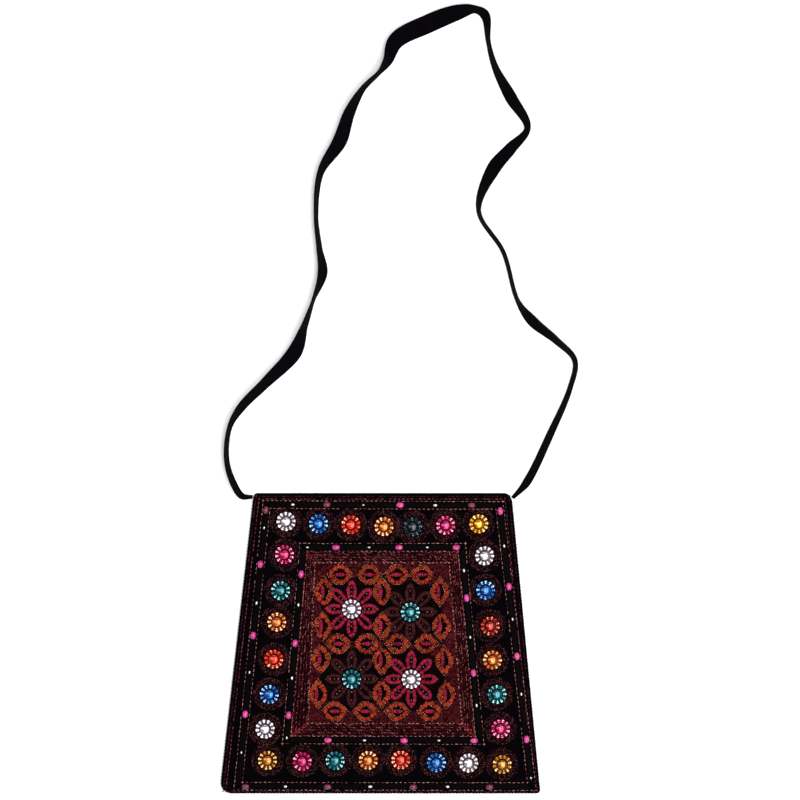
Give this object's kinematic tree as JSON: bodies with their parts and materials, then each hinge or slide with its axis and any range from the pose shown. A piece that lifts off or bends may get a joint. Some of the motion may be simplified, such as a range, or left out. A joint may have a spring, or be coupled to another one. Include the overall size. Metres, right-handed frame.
{
  "type": "embroidered shoulder bag",
  "caption": "Flat embroidered cloth pouch, open along its narrower top, set with flower-shaped stones and beaded ribbons, with a long tape shoulder strap laid out.",
  "frame": {"origin": "on the back face where the bag rests, in the middle of the pouch's height, under the middle of its bottom edge", "axes": "+Z away from the back face, through the embroidered front; +Y from the pouch's bottom towards its mouth and the strap; +X to the right when the front is seen"},
  "size_m": [0.2844, 0.6302, 0.017],
  "materials": {
    "cloth": "plain black woven cloth, matt",
    "embroidery": "black cloth covered with maroon, rust and crimson thread embroidery",
    "tape": "closely woven flat black tape with a faint sheen",
    "ribbon": "smooth black ribbon",
    "stone_white": "foil-backed glossy moulded stone, white",
    "stone_blue": "foil-backed glossy moulded stone, blue",
    "stone_red_orange": "foil-backed glossy moulded stone, red orange",
    "stone_amber": "foil-backed glossy moulded stone, amber",
    "stone_dark_teal": "foil-backed glossy moulded stone, dark teal",
    "stone_magenta": "foil-backed glossy moulded stone, magenta",
    "stone_yellow_gold": "foil-backed glossy moulded stone, yellow gold",
    "stone_teal": "foil-backed glossy moulded stone, teal",
    "stone_dark_red": "foil-backed glossy moulded stone, dark red",
    "stone_old_gold": "foil-backed glossy moulded stone, old gold",
    "pink_bead": "pearly pink barrel beads",
    "silver_bead": "small silver-lined seed beads",
    "thread_maroon": "maroon embroidery thread",
    "thread_tan": "tan embroidery thread",
    "thread_rust": "rust-orange satin-stitch thread",
    "thread_crimson": "crimson satin-stitch thread",
    "thread_brown": "dark brown satin-stitch thread"
  },
  "bodies": {
    "root": {"back_panel": "cloth", "front_panel": "embroidery", "outer_ribbon_top": "ribbon", "outer_ribbon_bottom": "ribbon", "outer_ribbon_left": "ribbon", "outer_ribbon_right": "ribbon", "inner_ribbon_top": "ribbon", "inner_ribbon_bottom": "ribbon", "inner_ribbon_left": "ribbon", "inner_ribbon_right": "ribbon", "stone_top_1": "stone_white", "stone_top_2": "stone_blue", "stone_top_3": "stone_red_orange", "stone_top_4": "stone_amber", "stone_top_5": "stone_dark_teal", "stone_top_6": "stone_magenta", "stone_top_7": "stone_yellow_gold", "stone_bottom_1": "stone_old_gold", "stone_bottom_2": "stone_magenta", "stone_bottom_3": "stone_teal", "stone_bottom_4": "stone_amber", "stone_bottom_5": "stone_red_orange", "stone_bottom_6": "stone_blue", "stone_bottom_7": "stone_white", "stone_bottom_8": "stone_old_gold", "stone_left_1": "stone_magenta", "stone_left_2": "stone_teal", "stone_left_3": "stone_amber", "stone_left_4": "stone_red_orange", "stone_left_5": "stone_blue", "stone_left_6": "stone_white", "stone_right_1": "stone_white", "stone_right_2": "stone_blue", "stone_right_3": "stone_dark_red", "stone_right_4": "stone_amber", "stone_right_5": "stone_teal", "stone_right_6": "stone_magenta", "stone_centre_1": "stone_white", "stone_centre_2": "stone_teal", "stone_centre_3": "stone_teal", "stone_centre_4": "stone_white", "strap": "tape"}
  },
  "joints": []
}
